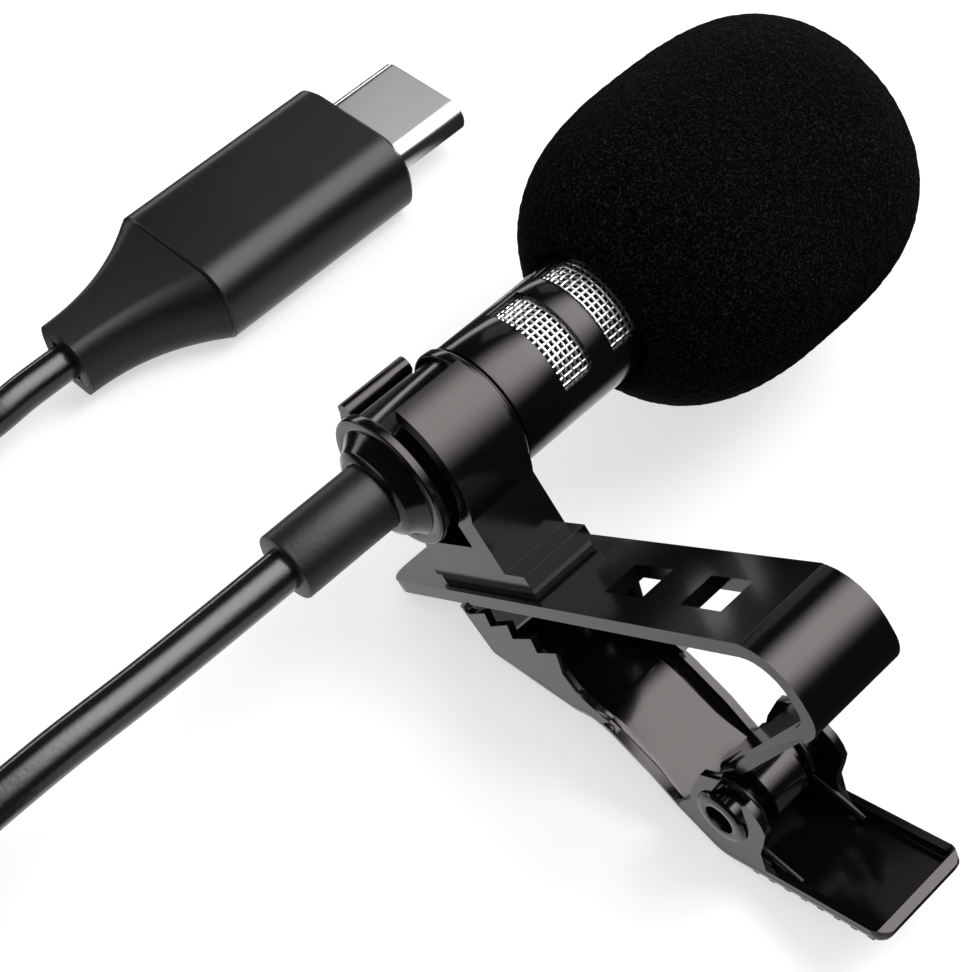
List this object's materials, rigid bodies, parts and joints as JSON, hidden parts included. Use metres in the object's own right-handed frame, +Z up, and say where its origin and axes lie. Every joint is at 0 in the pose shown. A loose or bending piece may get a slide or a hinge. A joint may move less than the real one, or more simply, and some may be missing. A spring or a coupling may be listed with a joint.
{
  "type": "lavalier microphone",
  "caption": "Clip-on lavalier microphone with a foam windscreen, a sprung metal clip and a coiled lead ending in a USB-C plug.",
  "frame": {"origin": "middle of the footprint of the windscreen, capsule and clip, at the height of the surface they lie on; the lead and plug aren't counted", "axes": "+Y along the capsule's axis, from the cable towards the windscreen's tip; +X across it, from the capsule towards the clip's curled end; +Z up"},
  "size_m": [0.0781, 0.1076, 0.024],
  "materials": {
    "foam": "matte open-cell foam",
    "black_metal": "gloss black plating",
    "mesh": "bright woven wire",
    "cap": "satin black",
    "can": "satin",
    "cloth": "fine black cloth",
    "gasket": "matte",
    "circuit": "green solder mask",
    "wire": "gloss",
    "sleeve": "matte dark grey",
    "crimp": "plain",
    "cable": "gloss black jacket",
    "holder": "gloss black",
    "pad": "matte black",
    "spring": "dark bright wire",
    "tie": "matte",
    "plug_plastic": "satin black",
    "shell": "bright nickel plating",
    "tongue": "black",
    "gold": "gold plated",
    "chip": "matte"
  },
  "bodies": {
    "clip": {"mic_holder": "holder", "holder_pad": "pad", "holder_rivets": "black_metal", "clip_plate": "black_metal", "pivot_tube": "black_metal", "torsion_spring": "spring", "cable_mic_run": "cable", "cable_coil": "cable", "cable_tie": "tie", "cable_plug_run": "cable", "plug_strain_relief": "plug_plastic", "plug_cable_end": "cable", "plug_body": "plug_plastic", "plug_shell": "shell", "plug_insulator": "tongue", "plug_contacts": "gold", "plug_latches": "spring", "plug_board": "circuit", "plug_chip": "chip"},
    "microphone": {"capsule_housing": "black_metal", "mesh_screen": "mesh", "acoustic_cloth": "cloth", "front_cap": "cap", "electret_capsule": "can", "capsule_gasket": "gasket", "capsule_board": "circuit", "capsule_wires": "wire", "rear_cone": "black_metal", "strain_relief": "sleeve", "cable_crimp": "crimp", "cable_end": "cable"},
    "lever": {"clip_lever": "black_metal"},
    "foam": {"windscreen": "foam"}
  },
  "joints": [
    {"name": "capsule_swivel", "type": "hinge", "parent": "clip", "child": "microphone", "pos_m": [-0.01252, -0.01187, 0.01387], "axis": [0, 1, 0], "continuous": true},
    {"name": "lever_pivot", "type": "hinge", "parent": "clip", "child": "lever", "pos_m": [0.01181, -0.01187, 0.00477], "axis": [0, -1, 0], "range_deg": [0, 25], "stiffness_Nm_per_rad": 0.08, "springref_deg": -57.3, "deforming": ["torsion_spring"]},
    {"name": "windscreen_slide", "type": "slide", "parent": "microphone", "child": "foam", "axis": [0, 1, 0], "range_m": [0, 0.018]}
  ]
}
